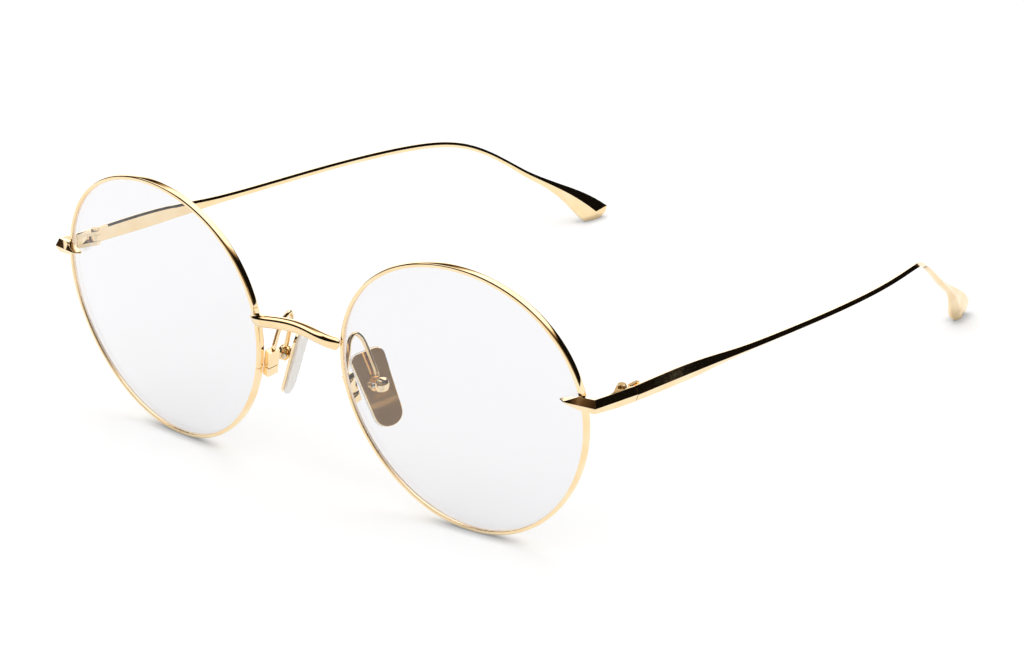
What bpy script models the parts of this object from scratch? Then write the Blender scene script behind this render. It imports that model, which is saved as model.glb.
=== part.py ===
"""Round wire-framed spectacles with clear lenses, standing open on their rims and temple tips.

Frame of the build, under one empty: X runs to the wearer's left, Y from the front towards the
ears, Z up, and the zero point lies midway between the lens centres. The empty then lowers that
frame so that the part stands on Z = 0 with its bounding box centred on the origin.
The left half is modelled and every left piece is copied mirrored for the right.
"""

import math

import bmesh
import bpy
from mathutils import Matrix, Vector

MM = 0.001
DEG = math.pi / 180

# How the meshes are made
WELD = 0.0001 * MM  # points closer than this are one
SHARP = 30 * DEG  # edges that turn further than this stay sharp
EDGE_SEGMENTS = 2
EDGE_ROUND = 0.6
PAST = 1.0 * MM  # how far a cutter runs out past the surface that it opens

# Lens shape: a circle with a soft three-lobed and two-lobed change, on a shallow dome
LENS_RADIUS = 25.0 * MM
THREE_LOBES = 0.50 * MM
TWO_LOBES = 0.09 * MM
DOME_RADIUS = 143.0 * MM
LENS_SPACING = 35.49 * MM  # from the middle of the frame to each lens centre
FRONT_TILT = 5.46 * DEG  # the top of the front leans forward
WRAP = 4.8 * DEG  # each lens turns outwards round the face
LENS_FRONT = 0.30 * MM  # lens surfaces, ahead of and behind the rim's groove
LENS_BACK = 0.90 * MM
LENS_BEVEL = 0.22 * MM  # the lens edge's ridge, which stands in the rim's groove
LENS_FIT = 0.05 * MM
LENS_RINGS = (0.45, 0.75)  # where its surfaces bend, as shares of the way to the edge

# Rim wire
RIM_WIDTH = 0.74 * MM
RIM_DEPTH = 1.45 * MM
RIM_EDGE = 0.14 * MM
GROOVE_DEPTH = 0.32 * MM
GROOVE_HALF = 0.42 * MM
RIM_STEPS = 72
SEAM_ANGLE = 192.0 * DEG  # where the ring is split, on the nasal side
SEAM_GAP = 0.12 * MM
FOOT_FLAT = 0.03 * MM  # how deep the feet are flattened where the part stands

# Soldered seats
SEAT_GAP = 0.06 * MM

# Bridge bar: the ridge along its front, from the nasal edge of each lens opening
BRIDGE_END = Vector((0.17, -1.83, 5.33)) * MM
BRIDGE_FORWARD = 0.91 * MM  # how far the middle stands ahead of the ends
BRIDGE_BOW = 4.09 * MM  # how far each shoulder bows forward
BRIDGE_RISE = 1.09 * MM
BRIDGE_TAPER = 0.40 * MM  # the rounded end of the bar
BRIDGE_HEIGHT = 2.30 * MM
BRIDGE_DEPTH = 1.90 * MM
BRIDGE_POINTS = 21
BRIDGE_CLOSING = 0.5  # size of the section at the bar's very ends
# Its section from the ridge back over the top and down to the underside, as shares of the bar's
# depth and height
BRIDGE_SECTION = [
    (0, 0),
    (0.17, 0.16),
    (0.45, 0.26),
    (0.85, 0.22),
    (1.0, -0.10),
    (0.85, -0.58),
    (0.45, -0.74),
    (0.15, -0.50),
]

# Rim lock: two blocks behind the rim's nasal side, drawn together by a screw
LOCK_OUT = 1.15 * MM  # how far it stands out from the rim wire
LOCK_BEHIND = 0.30 * MM  # how far it reaches in behind the wire
LOCK_DEPTH = 2.40 * MM
LOCK_EDGE = 0.12 * MM
LOCK_ABOVE_SEAM = 3.4 * MM
LOCK_BELOW_SEAM = 1.9 * MM
LOCK_SCREW_RADIUS = 0.33 * MM
LOCK_SCREW_HEAD = 0.50 * MM
LOCK_SCREW_HEAD_HEIGHT = 0.40 * MM
LOCK_SCREW_END = 0.50 * MM  # solid metal left above the screw
SCREW_CLEARANCE = 0.05 * MM

# Nose pad: its middle from the nasal edge of the lens opening, its plane and its outline
PAD_CENTRE = Vector((0.32, 8.60, -6.26)) * MM
PAD_SPLAY = 30.0 * DEG
PAD_SLOPE = 20.0 * DEG
PAD_LEAN = 14.0 * DEG
PAD_WIDTH = 6.3 * MM
PAD_FOOT_WIDTH = 5.3 * MM
PAD_LENGTH = 14.2 * MM
PAD_TOP_CORNER = 1.6 * MM
PAD_BOTTOM_CORNER = 2.5 * MM
PAD_EDGE = 0.10 * MM
PAD_PLATE = 0.50 * MM
PAD_CUSHION = 1.35 * MM
PAD_SWELL = 0.15 * MM  # how far the cushion stands out round the plate
PAD_SWELL_TOP = 0.3  # where the cushion is widest, and where it is as wide as the plate again,
PAD_SWELL_END = 0.7  # as shares of its thickness from the plate
PAD_FACE_INSET = 1.1 * MM
PAD_GAP = 0.06 * MM
PAD_CORNER_STEPS = 5

# Pad box, with the lug of the pad inside it on a cross screw
BOX_WIDTH = 2.4 * MM
BOX_LENGTH = 3.2 * MM
BOX_LOW = 0.45 * MM  # clearance over the plate, which lets the pad rock
BOX_HIGH = 2.45 * MM
BOX_EDGE = 0.30 * MM
BOX_ALONG = 0.80 * MM  # box centre, up along the pad from the pad's centre
BOX_SLOT = 1.20 * MM
BOX_ROOF = 0.45 * MM
PIVOT_HEIGHT = 1.20 * MM
LUG_CLEARANCE = 0.10 * MM
LUG_RADIUS = 0.62 * MM
PAD_SCREW_RADIUS = 0.30 * MM
PAD_SCREW_HEAD = 0.52 * MM
PAD_SCREW_HEAD_HEIGHT = 0.50 * MM
PAD_SCREW_CLEARANCE = 0.04 * MM
PAD_SCREW_STEPS = 16

# Pad arm wire, from the rim lock up, over and down to the pad box. The route's points are taken
# from the nasal edge of the lens opening
ARM_RADIUS = 0.42 * MM
ARM_FOOT_BACK = 1.45 * MM  # foot of the arm, behind the lock's front face
ARM_BOX_SIDE = -0.60 * MM  # where it enters the box, towards the rim from the box's middle
ARM_ROUTE = [
    Vector((-1.98, 3.28, 1.50)) * MM,
    Vector((-2.45, 4.18, 3.40)) * MM,
    Vector((-2.50, 5.58, 4.35)) * MM,
    Vector((-2.05, 6.63, 3.60)) * MM,
    Vector((-1.30, 7.25, 1.70)) * MM,
]
ARM_LEAD = 0.45 * MM  # straight length at each soldered end
ARM_STEPS = 4

# End piece, from the temporal edge of the lens opening: an arrow laid over the rim, which turns a
# corner and runs back to the hinge. Each station has its flat inner face (bottom, top) and then the
# top edge, ridge and bottom edge of its outer side, as (outwards, back, up)
LEG_INNER = 2.96
LEG_END = 9.60
ARROW_TIP = [
    (-3.40, -1.86, 4.98),
    (-3.40, -1.86, 5.22),
    (-3.48, -2.18, 5.20),
    (-3.50, -2.28, 5.10),
    (-3.48, -2.18, 5.00),
]
ARROW_MIDDLE = [
    (-2.10, -1.58, 4.55),
    (-2.10, -1.58, 5.60),
    (-2.13, -2.95, 5.25),
    (-2.18, -3.05, 5.12),
    (-2.10, -2.90, 4.90),
]
OVER_THE_RIM = [
    (0.50, -0.58, 3.85),
    (0.50, -0.58, 6.15),
    (0.40, -1.98, 6.40),
    (0.40, -2.43, 4.97),
    (0.40, -1.83, 3.85),
]
CORNER = [
    (LEG_INNER, -0.18, 3.75),
    (LEG_INNER, -0.18, 6.10),
    (3.15, -1.13, 6.22),
    (3.50, -1.66, 4.82),
    (3.20, -1.28, 3.70),
]
LEG_MIDDLE = [
    (LEG_INNER, 3.92, 3.05),
    (LEG_INNER, 3.92, 5.85),
    (3.35, 3.92, 5.80),
    (3.85, 3.92, 4.35),
    (3.38, 3.92, 3.00),
]
LEG_BACK = [
    (LEG_INNER, LEG_END, 2.50),
    (LEG_INNER, LEG_END, 5.35),
    (3.42, LEG_END, 5.32),
    (4.00, LEG_END, 3.88),
    (3.42, LEG_END, 2.45),
]
END_PIECE = [ARROW_TIP, ARROW_MIDDLE, OVER_THE_RIM, CORNER, LEG_MIDDLE, LEG_BACK]
TEMPLE_GAP = 0.12 * MM

# Hinge: its axis from the temporal edge of the lens opening. Two knuckles belong to the front leaf,
# the middle one to the temple's leaf, and the screw is their axle
HINGE_AXIS = Vector((1.98, 7.67, 4.25)) * MM
KNUCKLE_RADIUS = 0.90 * MM
KNUCKLE_MIDDLE = 1.17 * MM
KNUCKLE_OUTER = 0.72 * MM
KNUCKLE_GAP = 0.06 * MM
HINGE_SCREW_RADIUS = 0.45 * MM
HINGE_SCREW_HEAD = 0.70 * MM
HINGE_SCREW_HEAD_HEIGHT = 0.35 * MM
HINGE_CLEARANCE = 0.05 * MM
LEAF_WEDGE = 3.65 * MM  # length of the front leaf ahead of the axis
LEAF_CLEARANCE = 0.30 * MM  # round a knuckle, for the leaf that passes it
LEAF_SLOT = 2.90 * MM  # how far ahead of the axis the slot in the front leaf begins
LEAF_WALL = 0.45 * MM  # left beside the slot, along the leg
LEAF_ARM = 0.70 * MM
LEAF_PLATE = 2.30 * MM
LEAF_PLATE_STEP = 0.10 * MM  # how much lower the temple's leaf is than the knuckles, at each end
BARREL_STEPS = 24

# Temple, from the hinge axis. The blade's stations are shares of the way to the bend: outwards,
# share of the drop to the floor in per cent, height and thickness
TEMPLE_BEND = 95.5 * MM
BLADE_THICKNESS = 1.00
BLADE_OUT = 1.50
BLADE = [
    (0.076, BLADE_OUT, 2.0, 3.00, BLADE_THICKNESS),
    (0.181, 1.42, 4.0, 3.15, BLADE_THICKNESS),
    (0.270, 1.27, 6.1, 2.20, 1.10),
    (0.338, 1.17, 7.9, 1.45, 1.15),
    (0.422, 1.07, 9.8, 1.22, 1.15),
    (0.526, 0.92, 11.9, 1.15, 1.15),
    (0.631, 0.72, 13.9, 1.12, 1.12),
    (0.746, 0.07, 16.1, 1.10, 1.10),
    (0.840, -0.98, 18.0, 1.10, 1.08),
    (0.924, -2.48, 19.8, 1.08, 1.05),
    (0.992, -4.28, 22.3, 1.05, 1.05),
]
BLADE_START_DROP = 1.1
BLADE_START_HEIGHT = 2.85
BLADE_EDGE = 0.45  # where the flat edges end and the ridged outside begins, across the blade
BLADE_RIDGE = -0.10  # height of the ridge above the middle, as a share of half the height
FACET_HEIGHT = 0.50 * MM  # the sloping facet along the top of the blade's inner side
FACET_DEPTH = 0.22 * MM
# Behind the bend: outwards, back from the bend, share of the drop, height and thickness
NECK = [
    (-6.28, 4.25, 26.9, 1.02, 1.05),
    (-8.08, 9.05, 35.4, 1.00, 1.05),
    (-9.58, 14.25, 47.7, 1.05, 1.12),
    (-10.58, 17.95, 57.0, 1.25, 1.25),
]
# Paddle at the end: its front and back edge as (outwards, back from the bend, share of the drop),
# and its thickness
PADDLE = [
    ((-11.68, 21.05, 66.4), (-11.88, 22.45, 63.4), 1.50),
    ((-12.88, 24.05, 74.3), (-12.83, 26.15, 70.0), 1.60),
    ((-14.18, 26.25, 82.1), (-14.08, 29.95, 76.6), 1.75),
    ((-15.18, 27.85, 89.7), (-15.38, 33.95, 84.8), 1.90),
    ((-15.78, 29.15, 95.2), (-16.78, 36.85, 93.0), 1.90),
    ((-15.88, 30.25, 98.5), (-16.78, 36.35, 96.9), 1.70),
    ((-15.98, 31.55, 100.7), (-16.58, 34.95, 100.3), 1.20),
]
PADDLE_RIDGE = 0.38  # place of the outer ridge across the paddle, from its front edge
PADDLE_INNER_RIDGE = 0.52  # place of the inner ridge
PADDLE_INNER_THICK = 1.0  # distance of each corner from the paddle's middle, in half thicknesses
PADDLE_INNER_FRONT = 0.30
PADDLE_INNER_BACK = 0.40
PADDLE_OUTER_BACK = 0.25
PADDLE_OUTER_FRONT = 0.35
PADDLE_RISE = Vector((0, 0.55, 0.83))  # the way back up along the paddle

MIRROR = Matrix.Scale(-1, 4, (1, 0, 0))


def clear_scene():
    for obj in list(bpy.data.objects):
        bpy.data.objects.remove(obj, do_unlink=True)


def collection(name, hidden=False):
    made = bpy.data.collections.new(name)
    bpy.context.scene.collection.children.link(made)
    made.hide_render = hidden
    return made


def material(name, colour, metallic, roughness, transmission=0.0):
    made = bpy.data.materials.new(name)
    made.use_nodes = True
    shader = made.node_tree.nodes["Principled BSDF"]
    shader.inputs["Base Color"].default_value = (*colour, 1)
    shader.inputs["Metallic"].default_value = metallic
    shader.inputs["Roughness"].default_value = roughness
    shader.inputs["Transmission Weight"].default_value = transmission
    return made


clear_scene()
PARTS = collection("round_spectacles")
CUTTERS = collection("cutters", hidden=True)
GOLD = material("polished_gold_plate", (0.93, 0.66, 0.30), 1.0, 0.08)
STEEL = material("steel_screw", (0.62, 0.62, 0.64), 1.0, 0.20)
CLEAR = material("clear_lens", (0.93, 0.94, 0.96), 0.0, 0.03, 0.95)
SILICONE = material("clear_silicone", (0.90, 0.88, 0.90), 0.0, 0.30, 0.60)


def empty(name, parent, location=(0, 0, 0), rotation=(0, 0, 0)):
    made = bpy.data.objects.new(name, None)
    PARTS.objects.link(made)
    made.parent = parent
    made.location = location
    made.rotation_euler = rotation
    return made


def node(name, mesh, skin, parent=None, place=Matrix.Identity(4)):
    """A named piece, with its mesh in its own coordinates and its place as its transform."""
    made = bpy.data.objects.new(name, mesh)
    PARTS.objects.link(made)
    mesh.materials.clear()
    mesh.materials.append(skin)
    mesh.shade_smooth()
    mesh.set_sharp_from_angle(angle=SHARP)
    made.parent = parent
    made.matrix_basis = place
    return made


def turn_outward(form):
    """Makes the faces of a closed form all point out of it."""
    bmesh.ops.recalc_face_normals(form, faces=form.faces)
    if form.calc_volume(signed=True) < 0:
        bmesh.ops.reverse_faces(form, faces=form.faces)


def mesh_of(obj):
    """The object's evaluated mesh, welded, with the object itself removed."""
    bpy.context.view_layer.update()
    evaluated = obj.evaluated_get(bpy.context.evaluated_depsgraph_get())
    mesh = bpy.data.meshes.new_from_object(evaluated)
    bpy.data.objects.remove(obj, do_unlink=True)
    form = bmesh.new()
    form.from_mesh(mesh)
    bmesh.ops.remove_doubles(form, verts=form.verts, dist=WELD)
    turn_outward(form)
    form.to_mesh(mesh)
    form.free()
    return mesh


def combine(mesh, others, operation):
    """The mesh cut by, or joined to, the other meshes, all in one coordinate frame."""
    body = bpy.data.objects.new("body", mesh)
    PARTS.objects.link(body)
    helpers = []
    for other in others:
        helper = bpy.data.objects.new("tool", other)
        CUTTERS.objects.link(helper)
        helpers.append(helper)
        step = body.modifiers.new(operation.lower(), "BOOLEAN")
        step.operation = operation
        step.object = helper
        step.solver = "EXACT"
    made = mesh_of(body)
    for helper in helpers:
        bpy.data.objects.remove(helper, do_unlink=True)
    return made


def box(low, high, bevel=0.0):
    """A block between two corners, with its edges rounded off when a bevel is given."""
    form = bmesh.new()
    low = Vector(low)
    high = Vector(high)
    size = high - low
    place = Matrix.Translation((low + high) / 2) @ Matrix.Diagonal((*size, 1))
    bmesh.ops.create_cube(form, size=1, matrix=place)
    if bevel:
        bmesh.ops.bevel(
            form,
            geom=form.edges[:],
            offset=bevel,
            segments=EDGE_SEGMENTS,
            profile=EDGE_ROUND,
            affect="EDGES",
        )
    mesh = bpy.data.meshes.new("box")
    form.to_mesh(mesh)
    form.free()
    return mesh


def rod(start, end, radius, steps=BARREL_STEPS):
    """A round bar from start to end."""
    start = Vector(start)
    end = Vector(end)
    along = end - start
    turn = Vector((0, 0, 1)).rotation_difference(along).to_matrix().to_4x4()
    form = bmesh.new()
    bmesh.ops.create_cone(
        form,
        cap_ends=True,
        segments=steps,
        radius1=radius,
        radius2=radius,
        depth=along.length,
        matrix=Matrix.Translation((start + end) / 2) @ turn,
    )
    mesh = bpy.data.meshes.new("rod")
    form.to_mesh(mesh)
    form.free()
    return mesh


def loft(sections):
    """A closed skin through sections of the same number of points, with flat ends."""
    form = bmesh.new()
    rings = [[form.verts.new(point) for point in section] for section in sections]
    count = len(rings[0])
    for first, second in zip(rings, rings[1:]):
        for i in range(count):
            j = (i + 1) % count
            form.faces.new((first[i], first[j], second[j], second[i]))
    form.faces.new(rings[0])
    form.faces.new(rings[-1])
    bmesh.ops.triangulate(form, faces=form.faces[:])
    turn_outward(form)
    mesh = bpy.data.meshes.new("loft")
    form.to_mesh(mesh)
    form.free()
    return mesh


def mirrored(piece, parent):
    """The right-hand copy of a left piece."""
    name = piece.name.replace("_left", "_right")
    mesh = piece.data.copy()
    mesh.transform(MIRROR)
    mesh.flip_normals()
    made = bpy.data.objects.new(name, mesh)
    PARTS.objects.link(made)
    made.parent = parent
    made.matrix_basis = MIRROR @ piece.matrix_basis @ MIRROR
    return made


# Lens outline and dome, in a lens's own frame: X to the temple, Y up, Z to the front


def outline(angle):
    """Radius of the rim's opening at an angle from the temporal side."""
    return LENS_RADIUS + TWO_LOBES * math.cos(2 * angle) + THREE_LOBES * math.sin(3 * angle)


def dome(radius):
    """How far the lens surface stands forward of the opening's plane at a radius."""
    return (LENS_RADIUS**2 - radius**2) / (2 * DOME_RADIUS)


def turned(profile):
    """A profile of (radius, height) points turned round Z. A ring's profile is closed."""
    mesh = bpy.data.meshes.new("profile")
    on_axis = profile[0][0] == 0
    edges = [(i, i + 1) for i in range(len(profile) - 1)]
    if not on_axis:
        edges.append((len(profile) - 1, 0))
    mesh.from_pydata([(r, 0, z) for r, z in profile], edges, [])
    body = bpy.data.objects.new("turned", mesh)
    PARTS.objects.link(body)
    screw = body.modifiers.new("turn", "SCREW")
    screw.steps = RIM_STEPS
    screw.render_steps = RIM_STEPS
    screw.use_merge_vertices = True
    screw.merge_threshold = WELD
    return mesh_of(body)


def follow_outline(mesh):
    """Moves what was turned about the lens's middle onto the lens outline and its dome.

    Inside the opening the dome goes on to the middle. Outside it, the rim's section keeps its shape.
    """
    for vertex in mesh.vertices:
        radius = math.hypot(vertex.co.x, vertex.co.y)
        if radius == 0:
            vertex.co.z += dome(0)
            continue
        edge = outline(math.atan2(vertex.co.y, vertex.co.x))
        moved = radius + edge - LENS_RADIUS if radius > LENS_RADIUS else radius * edge / LENS_RADIUS
        vertex.co.x *= moved / radius
        vertex.co.y *= moved / radius
        vertex.co.z += dome(min(moved, edge))
    return mesh


def rim_profile():
    half = RIM_DEPTH / 2
    inner = LENS_RADIUS
    outer = LENS_RADIUS + RIM_WIDTH
    return [
        (outer, half - RIM_EDGE),
        (outer, RIM_EDGE - half),
        (outer - RIM_EDGE, -half),
        (inner + RIM_EDGE, -half),
        (inner, RIM_EDGE - half),
        (inner, -GROOVE_HALF),
        (inner + GROOVE_DEPTH, 0),
        (inner, GROOVE_HALF),
        (inner, half - RIM_EDGE),
        (inner + RIM_EDGE, half),
        (outer - RIM_EDGE, half),
    ]


def seat_profile():
    """The rim and the lens edge with the seat gap all round, for the pieces that pass them.

    Over the lens it reaches twice as far in as the tip of the end piece's arrow.
    """
    half = RIM_DEPTH / 2 + SEAT_GAP
    lens_edge = LENS_RADIUS - SEAT_GAP
    outer = LENS_RADIUS + RIM_WIDTH + SEAT_GAP
    inner = LENS_RADIUS + 2 * min(point[0] for point in ARROW_TIP) * MM
    lens_front = LENS_FRONT + SEAT_GAP
    return [
        (outer, half),
        (outer, -half),
        (inner, -half),
        (inner, lens_front),
        ((inner + lens_edge) / 2, lens_front),
        (lens_edge, lens_front),
        (lens_edge, half),
    ]


def make_seat():
    """A cutter in the lens frame that leaves room for the rim and the lens."""
    return follow_outline(turned(seat_profile()))


def lens_profile():
    edge = LENS_RADIUS - LENS_FIT
    ridge = LENS_RADIUS + LENS_BEVEL
    shoulder = GROOVE_HALF - 2 * LENS_FIT
    rings = [share * LENS_RADIUS for share in LENS_RINGS]
    front = [(0, LENS_FRONT)] + [(r, LENS_FRONT) for r in rings] + [(edge, LENS_FRONT)]
    back = [(edge, -LENS_BACK)] + [(r, -LENS_BACK) for r in rings[::-1]] + [(0, -LENS_BACK)]
    return front + [(ridge, 0), (edge, -shoulder)] + back


def lens_place():
    """The left lens's own frame within the tilted front."""
    turn = Matrix.Rotation(WRAP, 4, "Z") @ Matrix.Rotation(90 * DEG, 4, "X")
    return Matrix.Translation((LENS_SPACING, 0, 0)) @ turn


def lens_frame():
    """The left lens's own frame within the build frame."""
    return Matrix.Rotation(FRONT_TILT, 4, "X") @ lens_place()


def temporal_edge():
    """The outermost point of the left lens opening, which the end piece and hinge are placed from."""
    return lens_frame() @ Vector((LENS_RADIUS, 0, 0))


def nasal_edge():
    """The innermost point of the left lens opening, which the bridge and pad are placed from."""
    return lens_frame() @ Vector((-LENS_RADIUS, 0, 0))


def rim_point(angle, out=0.0):
    """A point of the rim's opening, or a distance outside it, in the lens frame."""
    edge = outline(angle)
    reach = edge + out
    return Vector((reach * math.cos(angle), reach * math.sin(angle), dome(edge)))


def lock_frame():
    """Frame of the rim lock within the lens frame: X out from the rim, Y down along it, Z front."""
    step = 1 * DEG
    along = rim_point(SEAM_ANGLE + step) - rim_point(SEAM_ANGLE - step)
    along.z = 0
    along.normalize()
    front = Vector((0, 0, 1))
    turn = Matrix((along.cross(front), along, front)).transposed().to_4x4()
    return Matrix.Translation(rim_point(SEAM_ANGLE, RIM_WIDTH + SEAT_GAP)) @ turn


def make_rim(front):
    rim = follow_outline(turned(rim_profile()))
    slot = box(
        (-LENS_RADIUS, -SEAM_GAP / 2, -RIM_DEPTH), (LENS_RADIUS / 2, SEAM_GAP / 2, RIM_DEPTH)
    )
    slot.transform(lock_frame())
    rim = combine(rim, [slot], "DIFFERENCE")
    return node("rim_left", rim, GOLD, front, lens_place())


def make_lens(front):
    return node("lens_left", follow_outline(turned(lens_profile())), CLEAR, front, lens_place())


def flatten_feet(piece, floor):
    """Cuts a small level foot where the piece stands. The floor is a height in the build frame."""
    bpy.context.view_layer.update()
    reach = 2 * TEMPLE_BEND
    slab = box((-reach, -reach, floor - PAST), (reach, reach, floor))
    slab.transform(piece.matrix_world.inverted())
    piece.data = combine(piece.data, [slab], "DIFFERENCE")


def lowest(piece):
    bpy.context.view_layer.update()
    return min((piece.matrix_world @ vertex.co).z for vertex in piece.data.vertices)


def make_lock(front):
    place = lens_place() @ lock_frame()
    near = -RIM_DEPTH / 2 - SEAT_GAP
    far = near - LOCK_DEPTH
    inner = -LOCK_BEHIND
    screw_x = (LOCK_OUT + inner) / 2
    screw_z = (near + far) / 2
    screw_top = LOCK_SCREW_END - LOCK_ABOVE_SEAM
    seat = LOCK_BELOW_SEAM - LOCK_SCREW_HEAD_HEIGHT - SCREW_CLEARANCE
    past = LOCK_BELOW_SEAM + PAST

    def bar(start, end, radius):
        return rod((screw_x, start, screw_z), (screw_x, end, screw_z), radius)

    bore_radius = LOCK_SCREW_RADIUS + SCREW_CLEARANCE
    upper = box((inner, -LOCK_ABOVE_SEAM, far), (LOCK_OUT, -SEAM_GAP / 2, near), LOCK_EDGE)
    upper = combine(upper, [bar(screw_top, past, bore_radius)], "DIFFERENCE")
    lower = box((inner, SEAM_GAP / 2, far), (LOCK_OUT, LOCK_BELOW_SEAM, near), LOCK_EDGE)
    sink = bar(seat, past, LOCK_SCREW_HEAD + SCREW_CLEARANCE)
    lower = combine(lower, [bar(screw_top, past, bore_radius), sink], "DIFFERENCE")
    head_low = LOCK_BELOW_SEAM - SCREW_CLEARANCE / 2
    head = bar(seat + SCREW_CLEARANCE / 2, head_low, LOCK_SCREW_HEAD)
    shank = bar(screw_top + SCREW_CLEARANCE, head_low - LOCK_SCREW_HEAD_HEIGHT / 2, LOCK_SCREW_RADIUS)
    screw = combine(shank, [head], "UNION")
    return [
        node("rim_lock_upper_left", upper, GOLD, front, place),
        node("rim_lock_lower_left", lower, GOLD, front, place),
        node("rim_lock_screw_left", screw, STEEL, front, place),
    ]


def wire_mesh(points, radius):
    """A round wire with flat ends along the points."""
    data = bpy.data.curves.new("wire", "CURVE")
    data.dimensions = "3D"
    data.use_fill_caps = True
    data.bevel_depth = radius
    data.bevel_resolution = 2
    spline = data.splines.new("POLY")
    spline.points.add(len(points) - 1)
    for control, point in zip(spline.points, points):
        control.co = (*point, 1)
    wire = bpy.data.objects.new("wire", data)
    PARTS.objects.link(wire)
    return mesh_of(wire)


def bridge_half():
    return nasal_edge().x + BRIDGE_END.x


def bridge_ridge(x):
    """The ridge along the bar's front, at a distance x from the middle of the frame."""
    share = (x / bridge_half()) ** 2
    rest = 1 - share
    end = nasal_edge() + BRIDGE_END
    y = end.y - BRIDGE_FORWARD * rest - BRIDGE_BOW * share * rest
    return Vector((x, y, end.z + BRIDGE_RISE * rest))


def bridge_section(x, grow=1.0):
    """The bar's section at x, square to its ridge."""
    step = BRIDGE_TAPER / 4
    ahead = (bridge_ridge(x + step) - bridge_ridge(x - step)).normalized()
    back = Vector((0, 0, 1)).cross(ahead).normalized()
    up = ahead.cross(back)
    section = []
    for depth, rise in BRIDGE_SECTION:
        shift = back * (depth * BRIDGE_DEPTH) + up * (rise * BRIDGE_HEIGHT)
        section.append(bridge_ridge(x) + shift * grow)
    return section


def make_bridge(root):
    straight = bridge_half() - BRIDGE_TAPER
    sections = [bridge_section(-bridge_half(), BRIDGE_CLOSING)]
    for i in range(BRIDGE_POINTS):
        share = 2 * i / (BRIDGE_POINTS - 1) - 1
        sections.append(bridge_section(share * straight))
    sections.append(bridge_section(bridge_half(), BRIDGE_CLOSING))
    seats = [make_seat(), make_seat()]
    seats[0].transform(lens_frame())
    seats[1].transform(MIRROR @ lens_frame())
    seats[1].flip_normals()
    return node("bridge", combine(loft(sections), seats, "DIFFERENCE"), GOLD, root)


def smooth_route(points, steps):
    """A smooth line through the points, by the Catmull-Rom rule."""
    padded = [2 * points[0] - points[1]] + points + [2 * points[-1] - points[-2]]
    route = []
    for a, b, c, d in zip(padded, padded[1:], padded[2:], padded[3:]):
        for i in range(steps):
            t = i / steps
            route.append(
                0.5
                * (
                    2 * b
                    + (c - a) * t
                    + (2 * a - 5 * b + 4 * c - d) * t * t
                    + (3 * b - a - 3 * c + d) * t**3
                )
            )
    route.append(points[-1])
    return route


def box_frame():
    """Frame of the pad within the build frame: X back, Y up the pad, Z away from the nose."""
    across = Vector((math.sin(PAD_SPLAY), math.cos(PAD_SPLAY), 0))
    up = Vector((-math.sin(PAD_SLOPE), 0, math.cos(PAD_SLOPE)))
    up -= across * up.dot(across)
    up.normalize()
    turn = Matrix((across, up, across.cross(up))).transposed().to_4x4()
    return Matrix.Translation(nasal_edge() + PAD_CENTRE) @ turn


def pivot_place():
    return box_frame() @ Matrix.Translation((0, BOX_ALONG, PIVOT_HEIGHT))


def make_arm(root):
    lock = lens_frame() @ lock_frame()
    foot_z = -RIM_DEPTH / 2 - SEAT_GAP - ARM_FOOT_BACK
    foot = Vector(((LOCK_OUT - LOCK_BEHIND) / 2, -LOCK_ABOVE_SEAM - SEAT_GAP, foot_z))
    top = Vector((ARM_BOX_SIDE, BOX_ALONG + BOX_LENGTH / 2 + SEAT_GAP, (BOX_LOW + BOX_HIGH) / 2))
    lead = Vector((0, ARM_LEAD, 0))
    middle = [nasal_edge() + point for point in ARM_ROUTE]
    route = smooth_route([lock @ (foot - lead)] + middle + [box_frame() @ (top + lead)], ARM_STEPS)
    points = [lock @ foot] + route + [box_frame() @ top]
    return node("pad_arm_left", wire_mesh(points, ARM_RADIUS), GOLD, root)


def pivot_bar(start, end, radius):
    """A round bar along the pad screw's axis, in the pad's frame."""
    along = [(x, BOX_ALONG, PIVOT_HEIGHT) for x in (start, end)]
    return rod(*along, radius, steps=PAD_SCREW_STEPS)


def make_pad_box(root):
    half = BOX_WIDTH / 2
    low = BOX_ALONG - BOX_LENGTH / 2
    high = BOX_ALONG + BOX_LENGTH / 2
    block = box((-half, low, BOX_LOW), (half, high, BOX_HIGH), BOX_EDGE)
    roof = BOX_HIGH - BOX_ROOF
    slot = box((-BOX_SLOT / 2, low - PAST, BOX_LOW - PAST), (BOX_SLOT / 2, high - BOX_ROOF, roof))
    bore = pivot_bar(-half - PAST, half + PAST, PAD_SCREW_RADIUS + PAD_SCREW_CLEARANCE)
    block = combine(block, [slot, bore], "DIFFERENCE")
    return node("pad_box_left", block, GOLD, root, box_frame())


def make_pad_screw(root):
    half = BOX_WIDTH / 2
    seat = -half - SCREW_CLEARANCE
    head = pivot_bar(seat - PAD_SCREW_HEAD_HEIGHT, seat, PAD_SCREW_HEAD)
    shank = pivot_bar(seat - PAD_SCREW_HEAD_HEIGHT / 2, half, PAD_SCREW_RADIUS)
    return node("pad_screw_left", combine(shank, [head], "UNION"), STEEL, root, box_frame())


def pad_outline(inset):
    """The pad's outline: a long shape that narrows downwards, with its lower corners rounder."""
    top = PAD_WIDTH / 2 - inset
    foot = PAD_FOOT_WIDTH / 2 - inset
    tall = PAD_LENGTH / 2 - inset
    corners = [
        (top, tall, PAD_TOP_CORNER, 0),
        (-top, tall, PAD_TOP_CORNER, 90),
        (-foot, -tall, PAD_BOTTOM_CORNER, 180),
        (foot, -tall, PAD_BOTTOM_CORNER, 270),
    ]
    points = []
    for x, y, radius, start in corners:
        radius -= inset
        centre = Vector((x - math.copysign(radius, x), y - math.copysign(radius, y), 0))
        for step in range(PAD_CORNER_STEPS + 1):
            angle = (start + step * 90 / PAD_CORNER_STEPS) * DEG
            points.append(centre + Vector((math.cos(angle), math.sin(angle), 0)) * radius)
    return points


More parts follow.
